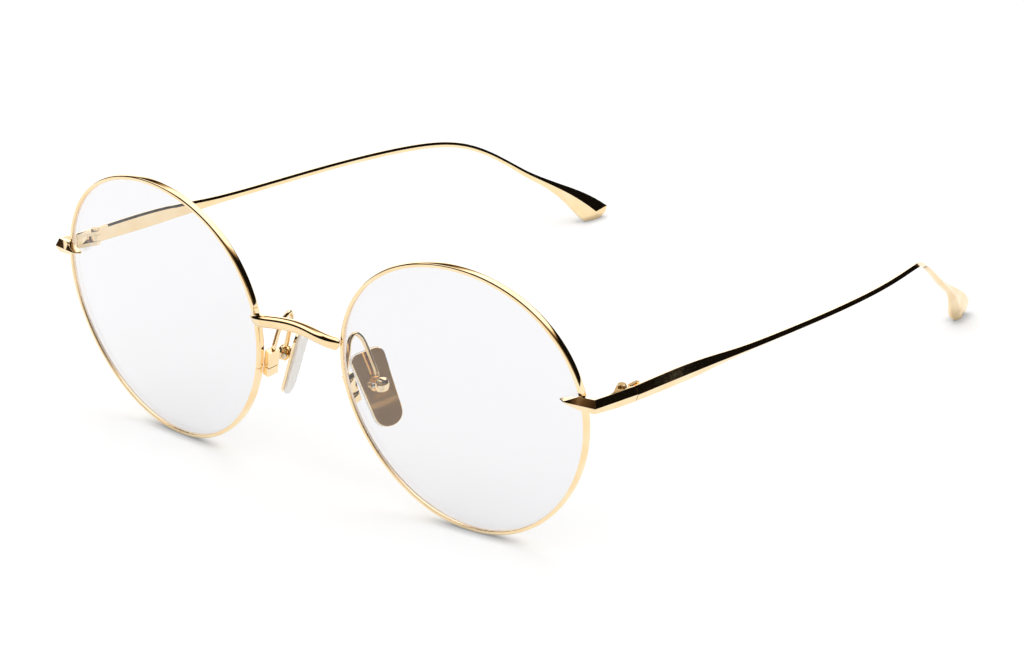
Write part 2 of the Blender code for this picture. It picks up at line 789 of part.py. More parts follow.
def pad_layer(levels):
    """A closed slab through the pad's outline at each (inset, height), about the pad screw."""
    sections = []
    for inset, height in levels:
        sections.append([point + Vector((0, 0, height)) for point in pad_outline(inset)])
    mesh = loft(sections)
    mesh.transform(Matrix.Rotation(PAD_LEAN, 4, "Z"))
    return mesh


def make_pad(pivot):
    """The gold plate with its lug, and the soft cushion under it."""
    shoulder = PAD_PLATE - PAD_EDGE
    plate = pad_layer([(PAD_EDGE, -PAD_PLATE), (0, -shoulder), (0, -PAD_EDGE), (PAD_EDGE, 0)])
    half = BOX_SLOT / 2 - LUG_CLEARANCE
    eye = pivot_bar(-half, half, LUG_RADIUS)
    low = BOX_ALONG - LUG_RADIUS
    high = BOX_ALONG + LUG_RADIUS
    stem = box((-half, low, -PAD_PLATE / 2), (half, high, PIVOT_HEIGHT))
    bore = pivot_bar(-half - PAST, half + PAST, PAD_SCREW_RADIUS + PAD_SCREW_CLEARANCE)
    plate = combine(plate, [stem, eye], "UNION")
    plate = combine(plate, [bore], "DIFFERENCE")
    top = -PAD_PLATE - PAD_GAP
    cushion = pad_layer(
        [
            (PAD_EDGE, top),
            (-PAD_SWELL, top - PAD_SWELL_TOP * PAD_CUSHION),
            (0, top - PAD_SWELL_END * PAD_CUSHION),
            (PAD_FACE_INSET, top - PAD_CUSHION),
        ]
    )
    offset = Matrix.Translation((0, -BOX_ALONG, -PIVOT_HEIGHT))
    plate.transform(offset)
    cushion.transform(offset)
    return [
        node("pad_plate_left", plate, GOLD, pivot),
        node("pad_cushion_left", cushion, SILICONE, pivot),
    ]


def make_end_piece(root):
    sections = [[Vector(point) * MM for point in station] for station in END_PIECE]
    body = loft(sections)
    body.transform(Matrix.Translation(temporal_edge()))
    seat = make_seat()
    seat.transform(lens_frame())
    body = combine(body, [seat], "DIFFERENCE")
    return node("end_piece_left", body, GOLD, root)


def hinge_heights():
    """Bottom and top of the middle knuckle, then of the whole hinge, from its middle."""
    middle = KNUCKLE_MIDDLE / 2
    reach = middle + KNUCKLE_GAP + KNUCKLE_OUTER
    return -middle, middle, -reach, reach


def upright(bottom, top, radius):
    """A round bar on the hinge axis, which is the origin here."""
    return rod((0, 0, bottom), (0, 0, top), radius)


def leaf_wedge(inner, bottom, top):
    """The front leaf's solid: a wedge from the leg's inner face to the side of the barrel."""
    tip = Vector((inner, -LEAF_WEDGE))
    turn = math.atan2(tip.y, tip.x) - math.acos(KNUCKLE_RADIUS / tip.length)
    touch = Vector((math.cos(turn), math.sin(turn))) * KNUCKLE_RADIUS
    plan = [tip, Vector((inner, 0)), Vector((0, 0)), touch]
    return loft([[Vector((*point, z)) for point in plan] for z in (bottom, top)])


def make_hinge(root, axis):
    """The two leaves and the screw, about the hinge axis."""
    low, high, bottom, top = hinge_heights()
    inner = LEG_INNER * MM - HINGE_AXIS.x - SEAT_GAP
    passing = KNUCKLE_RADIUS + LEAF_CLEARANCE
    bore = upright(bottom - PAST, top + PAST, HINGE_SCREW_RADIUS + HINGE_CLEARANCE)
    slot = upright(low - KNUCKLE_GAP, high + KNUCKLE_GAP, passing)
    mouth = box(
        (-passing - PAST, -LEAF_SLOT, low - KNUCKLE_GAP),
        (inner - LEAF_WALL, 0, high + KNUCKLE_GAP),
    )
    wedge = leaf_wedge(inner, bottom, top)
    front_leaf = combine(wedge, [upright(bottom, top, KNUCKLE_RADIUS)], "UNION")
    front_leaf = combine(front_leaf, [slot, mouth, bore.copy()], "DIFFERENCE")

    against = BLADE_OUT * MM - BLADE_THICKNESS * MM / 2 - SEAT_GAP
    plate_start = passing + LEAF_CLEARANCE / 2
    arm = box((against - LEAF_ARM, 0, low), (against, plate_start + LEAF_PLATE / 2, high))
    plate = box(
        (against - LEAF_ARM, plate_start, bottom + LEAF_PLATE_STEP),
        (against, plate_start + LEAF_PLATE, top - LEAF_PLATE_STEP),
    )
    knuckle = upright(low, high, KNUCKLE_RADIUS)
    back_leaf = combine(knuckle, [arm, plate], "UNION")
    back_leaf = combine(back_leaf, [bore], "DIFFERENCE")

    head_low = top + HINGE_CLEARANCE
    shank = upright(bottom + HINGE_CLEARANCE, head_low + HINGE_CLEARANCE, HINGE_SCREW_RADIUS)
    head = upright(head_low, head_low + HINGE_SCREW_HEAD_HEIGHT, HINGE_SCREW_HEAD)
    screw = combine(shank, [head], "UNION")
    place = Matrix.Translation(temporal_edge() + HINGE_AXIS)
    return [
        node("hinge_leaf_front_left", front_leaf, GOLD, root, place),
        node("hinge_screw_left", screw, GOLD, root, place),
        node("hinge_leaf_temple_left", back_leaf, GOLD, axis),
    ]


def blade_sections(drop):
    """Sections of the temple from its front end to the neck of the paddle."""
    start = LEG_END * MM + TEMPLE_GAP - HINGE_AXIS.y
    rows = [(BLADE_OUT, start, BLADE_START_DROP, BLADE_START_HEIGHT, BLADE_THICKNESS)]
    for share, out, down, height, thick in BLADE:
        rows.append((out, share * TEMPLE_BEND, down, height, thick))
    for out, back, down, height, thick in NECK:
        rows.append((out, TEMPLE_BEND + back * MM, down, height, thick))
    middles = [Vector((row[0] * MM, row[1], -drop * row[2] / 100)) for row in rows]
    sections = []
    for i, (out, back, down, height, thick) in enumerate(rows):
        ahead = middles[min(i + 1, len(rows) - 1)] - middles[max(i - 1, 0)]
        if i == 0:
            ahead = Vector((0, 1, 0))
        ahead.normalize()
        outward = ahead.cross(Vector((0, 0, 1))).normalized()
        upward = outward.cross(ahead)
        up = upward * (height * MM / 2)
        wall = outward * (thick * MM)
        inner = middles[i] - wall / 2
        edge = inner + wall * BLADE_EDGE
        sections.append(
            [
                inner - up,
                inner + up - upward * FACET_HEIGHT,
                inner + up + outward * FACET_DEPTH,
                edge + up,
                inner + wall + up * BLADE_RIDGE,
                edge - up,
            ]
        )
    return sections


def paddle_sections(drop):
    sections = []
    for front, back, thick in PADDLE:
        edges = []
        for out, behind, down in (front, back):
            edges.append(Vector((out * MM, TEMPLE_BEND + behind * MM, -drop * down / 100)))
        front_edge, back_edge = edges
        across = (back_edge - front_edge).normalized()
        outward = across.cross(PADDLE_RISE).normalized()
        half = outward * (thick * MM / 2)
        inner_ridge = front_edge.lerp(back_edge, PADDLE_INNER_RIDGE) - half * PADDLE_INNER_THICK
        sections.append(
            [
                front_edge - half * PADDLE_INNER_FRONT,
                inner_ridge,
                back_edge - half * PADDLE_INNER_BACK,
                back_edge + half * PADDLE_OUTER_BACK,
                front_edge.lerp(back_edge, PADDLE_RIDGE) + half,
                front_edge + half * PADDLE_OUTER_FRONT,
            ]
        )
    return sections


def make_temple(axis, drop):
    return node("temple_left", loft(blade_sections(drop) + paddle_sections(drop)), GOLD, axis)


def bounds(pieces):
    bpy.context.view_layer.update()
    corners = [piece.matrix_world @ v.co for piece in pieces for v in piece.data.vertices]
    low = Vector([min(corner[i] for corner in corners) for i in range(3)])
    high = Vector([max(corner[i] for corner in corners) for i in range(3)])
    return low, high


def main():
    root = empty("spectacles", None)
    front = empty("front", root, rotation=(FRONT_TILT, 0, 0))
    hinge_place = temporal_edge() + HINGE_AXIS
    hinge_left = empty("hinge_axis_left", root, hinge_place)
    hinge_right = empty("hinge_axis_right", root, MIRROR @ hinge_place)
    pivot_left = empty("pad_axis_left", root)
    pivot_left.matrix_basis = pivot_place()
    pivot_right = empty("pad_axis_right", root)
    pivot_right.matrix_basis = MIRROR @ pivot_place() @ MIRROR

    rim = make_rim(front)
    floor = lowest(rim) + FOOT_FLAT
    flatten_feet(rim, floor)
    temple = make_temple(hinge_left, hinge_place.z - floor)
    flatten_feet(temple, floor)
    front_leaf, hinge_screw, temple_leaf = make_hinge(root, hinge_left)
    make_bridge(root)

    fixed = [make_arm(root), make_pad_box(root), make_pad_screw(root), make_end_piece(root)]
    halves = {
        front: [rim, make_lens(front)] + make_lock(front),
        root: fixed + [front_leaf, hinge_screw],
        hinge_right: [temple_leaf, temple],
        pivot_right: make_pad(pivot_left),
    }
    for parent, pieces in halves.items():
        for piece in pieces:
            mirrored(piece, parent)

    low, high = bounds([obj for obj in PARTS.objects if obj.type == "MESH"])
    root.location = (-(low.x + high.x) / 2, -(low.y + high.y) / 2, -floor)
    print("size in mm", [round(v / MM, 2) for v in high - low])
    print("middle and floor in mm", round((low.y + high.y) / 2 / MM, 4), round(floor / MM, 4))
    print("hinge axis in mm", [round(v / MM, 4) for v in hinge_place + root.location])
    print("pad axis in mm", [round(v / MM, 4) for v in pivot_place().translation + root.location])


main()
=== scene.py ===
# %% [markdown]
# # Round gold spectacles
# These spectacles are drawn wire, milled blocks and folded plates, all plated in mirror-polished
# gold, with clear domed lenses and soft nose pads. The engineering model gives every piece its
# size and place. This script loads that model as a fixed frame and dresses it: each piece gets
# the fine edges and the finish that the eye sees, and stays where the frame has it.

# %% Load the frame
import math

import bpy
from mathutils import Matrix, Vector


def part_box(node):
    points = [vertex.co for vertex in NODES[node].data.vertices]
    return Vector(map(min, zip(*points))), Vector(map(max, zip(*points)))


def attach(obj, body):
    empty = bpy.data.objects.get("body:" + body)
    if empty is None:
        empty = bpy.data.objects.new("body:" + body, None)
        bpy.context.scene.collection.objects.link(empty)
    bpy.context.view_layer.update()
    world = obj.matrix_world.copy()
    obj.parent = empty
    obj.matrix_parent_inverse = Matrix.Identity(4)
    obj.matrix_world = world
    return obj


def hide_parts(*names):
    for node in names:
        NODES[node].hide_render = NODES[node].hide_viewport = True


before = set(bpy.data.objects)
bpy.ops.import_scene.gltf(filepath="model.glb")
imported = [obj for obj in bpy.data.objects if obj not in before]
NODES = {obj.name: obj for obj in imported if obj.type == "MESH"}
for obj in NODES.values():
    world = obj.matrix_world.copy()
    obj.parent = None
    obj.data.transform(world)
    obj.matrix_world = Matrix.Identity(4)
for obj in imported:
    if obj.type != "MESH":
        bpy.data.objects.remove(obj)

MM = 0.001
DEG = math.pi / 180
SIDES = ("left", "right")
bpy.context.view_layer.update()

# %% [markdown]
# ## Selecting in code
# An operator works on whatever is selected, and everything that was just loaded still is. So each
# step picks one object first, and then the vertices, edges or faces that pass a test, as a hand
# would click them.

# %% Picking an object, and parts of its mesh


def pick_only(obj):
    if bpy.context.mode != "OBJECT":
        bpy.ops.object.mode_set(mode="OBJECT")
    bpy.ops.object.select_all(action="DESELECT")
    obj.select_set(True)
    bpy.context.view_layer.objects.active = obj


def choose(obj, kind, test):
    """Opens the object in edit mode with those vertices, edges or faces selected."""
    pick_only(obj)
    bpy.ops.object.mode_set(mode="EDIT")
    bpy.ops.mesh.select_mode(type=kind)
    bpy.ops.mesh.select_all(action="DESELECT")
    bpy.ops.object.mode_set(mode="OBJECT")
    mesh = obj.data
    parts = {"VERT": mesh.vertices, "EDGE": mesh.edges, "FACE": mesh.polygons}[kind]
    for part in parts:
        part.select = bool(test(part))
    bpy.ops.object.mode_set(mode="EDIT")


def edge_ends(obj, edge):
    return [obj.data.vertices[i].co for i in edge.vertices]


def close_up():
    """Merges what lies together, turns all faces outwards and leaves edit mode."""
    bpy.ops.mesh.select_all(action="SELECT")
    bpy.ops.mesh.remove_doubles(threshold=MERGE)
    bpy.ops.mesh.normals_make_consistent(inside=False)
    bpy.ops.object.mode_set(mode="OBJECT")


MERGE = 0.002 * MM
print("merge distance in mm:", MERGE / MM)

# %% [markdown]
# ## Starting from the frame's own shapes
# Milled and folded pieces already have their true shape in the frame, as loose flat triangles.
# They could be modelled again, but a copy can't drift from its place. The copy is merged, its flat
# faces are made whole, and then it gets what milling and polishing leave: small round edges.

# %% Copies, modifiers and smooth shading
FLAT = 0.5 * DEG
SMOOTH_ANGLE = 32 * DEG


def copy_of(node_name, name, dissolve=True):
    """A new object with the node's shape, merged into one closed mesh."""
    mesh = NODES[node_name].data.copy()
    made = bpy.data.objects.new(name, mesh)
    bpy.context.scene.collection.objects.link(made)
    mesh.materials.clear()
    pick_only(made)
    if mesh.has_custom_normals:
        bpy.ops.mesh.customdata_custom_splitnormals_clear()
    bpy.ops.object.mode_set(mode="EDIT")
    bpy.ops.mesh.select_all(action="SELECT")
    bpy.ops.mesh.remove_doubles(threshold=MERGE)
    if dissolve:
        bpy.ops.mesh.dissolve_limited(angle_limit=FLAT)
    bpy.ops.object.mode_set(mode="OBJECT")
    return made


def apply_modifier(obj, kind, **settings):
    pick_only(obj)
    step = obj.modifiers.new(kind.lower(), kind)
    for name, value in settings.items():
        setattr(step, name, value)
    bpy.ops.object.modifier_apply(modifier=step.name)


def round_edges(obj, width, segments=3, angle=25 * DEG):
    """Rounds the sharp edges by a real radius, and keeps the faces between them looking flat."""
    pick_only(obj)
    bpy.ops.object.shade_smooth()
    apply_modifier(
        obj, "BEVEL", width=width, segments=segments, limit_method="ANGLE", angle_limit=angle,
        use_clamp_overlap=True, miter_outer="MITER_ARC", harden_normals=True,
    )


def shade(obj, angle=SMOOTH_ANGLE):
    pick_only(obj)
    bpy.ops.object.shade_smooth_by_angle(angle=angle)


def mirrored(obj, name):
    """The right-hand copy of a left piece, with its own mesh."""
    mesh = obj.data.copy()
    mesh.transform(Matrix.Scale(-1, 4, (1, 0, 0)))
    made = bpy.data.objects.new(name, mesh)
    bpy.context.scene.collection.objects.link(made)
    pick_only(made)
    bpy.ops.object.mode_set(mode="EDIT")
    close_up()
    return made


def finish_piece(obj, skin, slot, body, *nodes):
    """Gives a piece its material, sets it on its body and hides its nodes. The slot is not used."""
    obj.data.materials.clear()
    obj.data.materials.append(skin)
    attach(obj, body)
    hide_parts(*nodes)
    print(obj.name, "on", body, "with", len(obj.data.polygons), "faces")


print("faces that meet below", round(SMOOTH_ANGLE / DEG), "degrees are shaded as one")

# %% [markdown]
# ## One way to add a node
# Each material below is a small graph. One function adds a node with its settings and its links,
# and another turns the sRGB hex colours of a colour card into the linear values that shaders use.

# %% Material helpers


def linear(code):
    parts = [int(code[i : i + 2], 16) / 255 for i in (1, 3, 5)]
    return (*[c / 12.92 if c <= 0.04045 else ((c + 0.055) / 1.055) ** 2.4 for c in parts], 1)


def add(tree, kind, values=None, links=None, **settings):
    """Adds a shader node, with socket values, links into its sockets, and settings."""
    made = tree.nodes.new("ShaderNode" + kind)
    for name, value in settings.items():
        setattr(made, name, value)
    for socket, value in (values or {}).items():
        made.inputs[socket].default_value = value
    for socket, source in (links or {}).items():
        tree.links.new(source, made.inputs[socket])
    return made


def new_material(name):
    made = bpy.data.materials.new(name)
    made.use_nodes = True
    tree = made.node_tree
    return made, tree, tree.nodes["Principled BSDF"], tree.nodes["Material Output"]


def per_metre(size_mm):
    """The texture scale whose pattern repeats about every so many millimetres."""
    return 1 / (size_mm * MM)


print("middle grey in linear light:", round(linear("#808080")[0], 3))

# %% [markdown]
# ## Gold plate
# The metal parts are a copper-nickel alloy, electroplated with a pale yellow gold and then buffed
# to a mirror. A mirror shows its surroundings more than itself, so the finish is nearly all
# reflection. What gives the eye scale is that buffing is never even: the plate's warmth drifts a
# little over some millimetres, the gloss varies, and fine polishing lines break up the highlights.

# %% Gold plate material
GOLD_PALE = "#FEE7BE"
GOLD_WARM = "#FADDAC"
WARMTH_PATCH = 5  # mm over which the plate turns from pale to warm
HAZE_PATCH = 0.9  # mm between glossier and duller spots
MIRROR_ROUGHNESS = (0.035, 0.06)
BUFFING_LINE = 0.25  # mm. Real lines are about ten times finer, and wouldn't show
BUFFING_DEPTH = 0.004 * MM


def gold_plate(name, along=(1, 1, 1)):
    """Mirror-polished gold. The polishing lines run the way in which along is smallest."""
    made, tree, shader, _ = new_material(name)
    place = add(tree, "TexCoord").outputs["Object"]
    drift = add(
        tree, "TexNoise", {"Scale": per_metre(WARMTH_PATCH), "Detail": 2}, {"Vector": place}
    )
    warmth = add(
        tree, "MapRange", {"From Min": 0.35, "From Max": 0.65}, {"Value": drift.outputs["Fac"]}
    )
    colour = add(
        tree, "Mix", {"A": linear(GOLD_PALE), "B": linear(GOLD_WARM)},
        {"Factor": warmth.outputs["Result"]}, data_type="RGBA",
    )
    tree.links.new(colour.outputs["Result"], shader.inputs["Base Color"])
    haze = add(tree, "TexNoise", {"Scale": per_metre(HAZE_PATCH), "Detail": 4}, {"Vector": place})
    smoothest, dullest = MIRROR_ROUGHNESS
    gloss = add(
        tree, "MapRange",
        {"From Min": 0.3, "From Max": 0.7, "To Min": smoothest, "To Max": dullest},
        {"Value": haze.outputs["Fac"]},
    )
    tree.links.new(gloss.outputs["Result"], shader.inputs["Roughness"])
    lines = add(tree, "Mapping", {"Scale": along}, {"Vector": place})
    buffing = add(
        tree, "TexNoise", {"Scale": per_metre(BUFFING_LINE), "Detail": 3},
        {"Vector": lines.outputs["Vector"]},
    )
    relief = add(
        tree, "Bump", {"Strength": 0.05, "Distance": BUFFING_DEPTH},
        {"Height": buffing.outputs["Fac"]},
    )
    tree.links.new(relief.outputs["Normal"], shader.inputs["Normal"])
    shader.inputs["Metallic"].default_value = 1.0
    return made


GOLD = gold_plate("gold_plate_polished")
GOLD_DRAWN = gold_plate("gold_plate_drawn", along=(1, 0.12, 1))
print("gold:", GOLD_PALE, "to", GOLD_WARM)

# %% [markdown]
# No wheel reaches the groove that holds the lens, so the gold inside a rim stays as the plating
# bath left it: satin, and paler, because it mixes the light from all sides instead of mirroring
# one of them.

# %% Satin gold for the inside of a rim
GOLD_UNBUFFED = "#F6D3A4"
BLOOM_GRAIN = 0.4  # mm between spots where the bath laid more gold

GOLD_SATIN, tree, shader, _ = new_material("gold_plate_satin")
place = add(tree, "TexCoord").outputs["Object"]
bloom = add(tree, "TexNoise", {"Scale": per_metre(BLOOM_GRAIN), "Detail": 3}, {"Vector": place})
tone = add(
    tree, "Mix", {"A": linear(GOLD_PALE), "B": linear(GOLD_UNBUFFED)},
    {"Factor": bloom.outputs["Fac"]}, data_type="RGBA",
)
satin = add(
    tree, "MapRange", {"To Min": 0.22, "To Max": 0.34}, {"Value": bloom.outputs["Fac"]}
)
tree.links.new(tone.outputs["Result"], shader.inputs["Base Color"])
tree.links.new(satin.outputs["Result"], shader.inputs["Roughness"])
shader.inputs["Metallic"].default_value = 0.85
print("made", GOLD_SATIN.name)

# %% [markdown]
# ## Bright screws
# The lock and pad screws are turned stainless steel. Turning leaves fine rings, so their shine is
# a little broken up, and steel is grey where gold is yellow, which makes them easy to spot.

# %% Screw steel
STEEL_GREY = "#C9C9CC"
STEEL_BRIGHT = "#E6E4E1"
TURNING_GRAIN = 0.15  # mm

STEEL, tree, shader, _ = new_material("stainless_steel_turned")
place = add(tree, "TexCoord").outputs["Object"]
rings = add(tree, "TexNoise", {"Scale": per_metre(TURNING_GRAIN), "Detail": 2}, {"Vector": place})
gloss = add(
    tree, "MapRange", {"To Min": 0.12, "To Max": 0.26}, {"Value": rings.outputs["Fac"]}
)
tint = add(
    tree, "Mix", {"A": linear(STEEL_GREY), "B": linear(STEEL_BRIGHT)},
    {"Factor": rings.outputs["Fac"]}, data_type="RGBA",
)
tree.links.new(tint.outputs["Result"], shader.inputs["Base Color"])
tree.links.new(gloss.outputs["Result"], shader.inputs["Roughness"])
shader.inputs["Metallic"].default_value = 1.0
print("made", STEEL.name)

# %% [markdown]
# ## Clear lenses
# The lenses are an untinted optical plastic with an anti-reflection coat. Glass that is drawn
# honestly casts a dark shadow, because lamps can't find their way through a refracting surface.
# A real lens lets that light through, so for rays from lamps the material is transparent. Faint
# smears from wiping change the gloss a little.

# %% Lens material
LENS_CLEAR = "#F1F1F3"
LENS_SHADOW = "#F4F4F6"  # what is left of the lamps' light behind a lens
SMEAR = 9  # mm, about the width of a wiping finger

CLEAR, tree, shader, output = new_material("optical_plastic_clear")
place = add(tree, "TexCoord").outputs["Object"]
smears = add(tree, "TexNoise", {"Scale": per_metre(SMEAR), "Detail": 3}, {"Vector": place})
wiped = add(
    tree, "MapRange", {"From Min": 0.4, "From Max": 0.8, "To Min": 0.0, "To Max": 0.02},
    {"Value": smears.outputs["Fac"]},
)
tree.links.new(wiped.outputs["Result"], shader.inputs["Roughness"])
shader.inputs["Base Color"].default_value = linear(LENS_CLEAR)
shader.inputs["Transmission Weight"].default_value = 1.0
shader.inputs["IOR"].default_value = 1.5
lamps = add(tree, "LightPath").outputs["Is Shadow Ray"]
through = add(tree, "BsdfTransparent", {"Color": linear(LENS_SHADOW)})
surface = add(
    tree, "MixShader", {},
    {"Fac": lamps, 1: shader.outputs["BSDF"], 2: through.outputs["BSDF"]},
)
tree.links.new(surface.outputs["Shader"], output.inputs["Surface"])
print("made", CLEAR.name, "that lets the lamps' light through")

# %% [markdown]
# The edge of a lens is ground, which leaves it frosted, with a grit of about a fifth of a
# millimetre. A lens guides light to its edge. Paths that long aren't followed in a render, so a
# little glow of its own stands for them.

# %% Ground lens edge material
FROST_WARM = "#F6E6D8"
FROST_WHITE = "#FFFAF5"
GLOW_COLOUR = "#FFEFE0"
EDGE_GLOW = 0.45
GRIT = 0.2  # mm
GRIT_DEPTH = 0.02 * MM

GROUND, tree, shader, _ = new_material("optical_plastic_ground")
place = add(tree, "TexCoord").outputs["Object"]
grit = add(tree, "TexNoise", {"Scale": per_metre(GRIT), "Detail": 3}, {"Vector": place})
frost = add(
    tree, "Mix", {"A": linear(FROST_WARM), "B": linear(FROST_WHITE)},
    {"Factor": grit.outputs["Fac"]}, data_type="RGBA",
)
tree.links.new(frost.outputs["Result"], shader.inputs["Base Color"])
relief = add(
    tree, "Bump", {"Strength": 0.3, "Distance": GRIT_DEPTH}, {"Height": grit.outputs["Fac"]}
)
tree.links.new(relief.outputs["Normal"], shader.inputs["Normal"])
shader.inputs["Roughness"].default_value = 0.6
shader.inputs["Emission Color"].default_value = linear(GLOW_COLOUR)
shader.inputs["Emission Strength"].default_value = EDGE_GLOW
print("made", GROUND.name, "with a glow of", EDGE_GLOW)

# %% [markdown]
# ## Silicone cushions
# The nose cushions are clear silicone, moulded over the plates. Silicone is never as clear as
# glass: it is milky and slightly satin, and light that enters it spreads before it leaves.

# %% Silicone material
MILK_COOL = "#FBF7F4"
MILK_WARM = "#FFF8EE"
CLOUD = 1.5  # mm
RIB_PITCH = 0.55 * 2 * math.pi  # mm. Real ribs are finer, and wouldn't show
RIB_DEPTH = 0.06 * MM
RADIANS_PER_UNIT = 20  # how far the wave texture turns over one unit at a scale of 1

SILICONE, tree, shader, _ = new_material("silicone_clear_moulded")
place = add(tree, "TexCoord").outputs["Object"]
cloud = add(tree, "TexNoise", {"Scale": per_metre(CLOUD), "Detail": 2}, {"Vector": place})
milk = add(
    tree, "Mix", {"A": linear(MILK_COOL), "B": linear(MILK_WARM)},
    {"Factor": cloud.outputs["Fac"]}, data_type="RGBA",
)
satin = add(
    tree, "MapRange", {"To Min": 0.28, "To Max": 0.42}, {"Value": cloud.outputs["Fac"]}
)
waves = per_metre(RIB_PITCH) * 2 * math.pi / RADIANS_PER_UNIT
ribs = add(
    tree, "TexWave", {"Scale": waves, "Distortion": 0.0}, {"Vector": place}, bands_direction="Z"
)
relief = add(
    tree, "Bump", {"Strength": 0.6, "Distance": RIB_DEPTH}, {"Height": ribs.outputs["Fac"]}
)
tree.links.new(milk.outputs["Result"], shader.inputs["Base Color"])
tree.links.new(satin.outputs["Result"], shader.inputs["Roughness"])
tree.links.new(relief.outputs["Normal"], shader.inputs["Normal"])
shader.inputs["Alpha"].default_value = 0.4
shader.inputs["IOR"].default_value = 1.41
shader.inputs["Subsurface Weight"].default_value = 0.4
shader.inputs["Subsurface Radius"].default_value = (1.0, 1.0, 1.0)
shader.inputs["Subsurface Scale"].default_value = 0.8 * MM
print("made", SILICONE.name, "with ribs", round(RIB_PITCH, 2), "mm apart")

# %% [markdown]
# ## The lens outline
# Round frames are not quite circles. This one is a circle with a soft change of three lobes and
# a slighter one of two, laid over a shallow dome. Rim and lens are both spun as plain circles,
# which is how a hand would start, and then every point is moved onto the outline and the dome.

# %% Outline, dome and place of the left lens
LENS_RADIUS = 25.0 * MM
THREE_LOBES = 0.50 * MM
TWO_LOBES = 0.09 * MM
DOME_RADIUS = 143.0 * MM
LENS_SPACING = 35.49 * MM
FRONT_TILT = 5.46 * DEG
WRAP = 4.8 * DEG


def outline(angle):
    return LENS_RADIUS + TWO_LOBES * math.cos(2 * angle) + THREE_LOBES * math.sin(3 * angle)


def dome(radius):
    return (LENS_RADIUS**2 - radius**2) / (2 * DOME_RADIUS)


def follow_outline(obj):
    for vertex in obj.data.vertices:
        radius = math.hypot(vertex.co.x, vertex.co.y)
        if radius < MERGE:
            vertex.co.z += dome(0)
            continue
        edge = outline(math.atan2(vertex.co.y, vertex.co.x))
        outside = radius > LENS_RADIUS
        moved = radius + edge - LENS_RADIUS if outside else radius * edge / LENS_RADIUS
        vertex.co.x *= moved / radius
        vertex.co.y *= moved / radius
        vertex.co.z += dome(min(moved, edge))


def stand_in_place(obj, node_name):
    """Tilts a piece made flat about the lens centre into the front, and sets it on its node."""
    turn = Matrix.Rotation(FRONT_TILT, 4, "X")
    turn @= Matrix.Translation((LENS_SPACING, 0, 0))
    turn @= Matrix.Rotation(WRAP, 4, "Z") @ Matrix.Rotation(90 * DEG, 4, "X")
    obj.data.transform(turn)
    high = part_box(node_name)[1]
    top = max(v.co.z for v in obj.data.vertices)
    back = max(v.co.y for v in obj.data.vertices)
    shift = Vector((0, high.y - back, high.z - top))
    obj.data.transform(Matrix.Translation(shift))
    for vertex in obj.data.vertices:
        vertex.co.z = max(vertex.co.z, 0)
    print(obj.name, "stands", [round(v / MM, 3) for v in shift], "mm from the lens frame")


print("lens opening:", round(2 * outline(0) / MM, 2), "mm wide")

# %% [markdown]
# ## A section to spin
# A ring is easiest as one section and one spin. The section is a plane that stands on its edge,
# reduced to its outline, so that the spin makes a skin and no inner walls.

# %% Section and spin helpers


def wire_section(name, inner, outer, low, high):
    """A rectangle of edges in the XZ plane, from one radius and height to another."""
    bpy.ops.object.select_all(action="DESELECT")
    bpy.ops.mesh.primitive_plane_add(
        size=1,
        location=((inner + outer) / 2, 0, (low + high) / 2),
        rotation=(90 * DEG, 0, 0),
    )
    made = bpy.context.object
    made.name = name
    made.scale = (outer - inner, high - low, 1)
    bpy.ops.object.transform_apply(location=True, rotation=True, scale=True)
    bpy.ops.object.mode_set(mode="EDIT")
    bpy.ops.mesh.select_all(action="SELECT")
    bpy.ops.mesh.delete(type="ONLY_FACE")
    bpy.ops.object.mode_set(mode="OBJECT")
    return made


def near(value, target, slack=0.01 * MM):
    return abs(value - target) < slack


def spin_round(obj, steps, angle=2 * math.pi):
    choose(obj, "VERT", lambda v: True)
    bpy.ops.mesh.spin(steps=steps, angle=angle, center=(0, 0, 0), axis=(0, 0, 1))


print("sections stand on radius", round(LENS_RADIUS / MM, 2), "mm before they are spun")

# %% [markdown]
# ## Rims
# A rim is drawn wire, about 0.7 mm wide and 1.4 mm deep, with a groove along its inside that
# holds the lens. Its corners are rounded by the die. The wire is bent into a ring and left open
# at one place on the nose side, where the lock blocks draw it shut round the lens.

# %% Rim wire section
RIM_WIDTH = 0.74 * MM
RIM_DEPTH = 1.45 * MM
RIM_CORNER = 0.26 * MM
RIM_LIP = 0.11 * MM
RIM_CROWN = 0.065 * MM  # how much the outside of the wire bulges
GROOVE_DEPTH = 0.32 * MM
GROOVE_HALF = 0.31 * MM
SEAM_ANGLE = 192 * DEG
SEAM_GAP = 0.12 * MM
RIM_STEPS = 300
HAIR = 0.0001 * MM  # the spin starts on Y = 0 to within this
INWARD = -0.5  # a face that looks more to the middle than this lies inside the groove

rim = wire_section(
    "rim_wire_left", LENS_RADIUS, LENS_RADIUS + RIM_WIDTH, -RIM_DEPTH / 2, RIM_DEPTH / 2
)
choose(rim, "EDGE", lambda e: all(near(end.x, LENS_RADIUS) for end in edge_ends(rim, e)))
bpy.ops.mesh.subdivide(number_cuts=3)
choose(rim, "VERT", lambda v: near(v.co.x, LENS_RADIUS) and near(v.co.z, 0))
bpy.ops.transform.translate(value=(GROOVE_DEPTH, 0, 0))
quarter = RIM_DEPTH / 4
for way in (-1, 1):
    choose(rim, "VERT", lambda v: near(v.co.x, LENS_RADIUS) and near(v.co.z, way * quarter))
    bpy.ops.transform.translate(value=(0, 0, way * (GROOVE_HALF - quarter)))
choose(rim, "VERT", lambda v: near(abs(v.co.z), RIM_DEPTH / 2) and near(v.co.x, LENS_RADIUS))
bpy.ops.mesh.bevel(affect="VERTICES", offset=RIM_LIP, segments=3, profile=0.5)
outside = LENS_RADIUS + RIM_WIDTH
choose(rim, "VERT", lambda v: near(abs(v.co.z), RIM_DEPTH / 2) and near(v.co.x, outside))
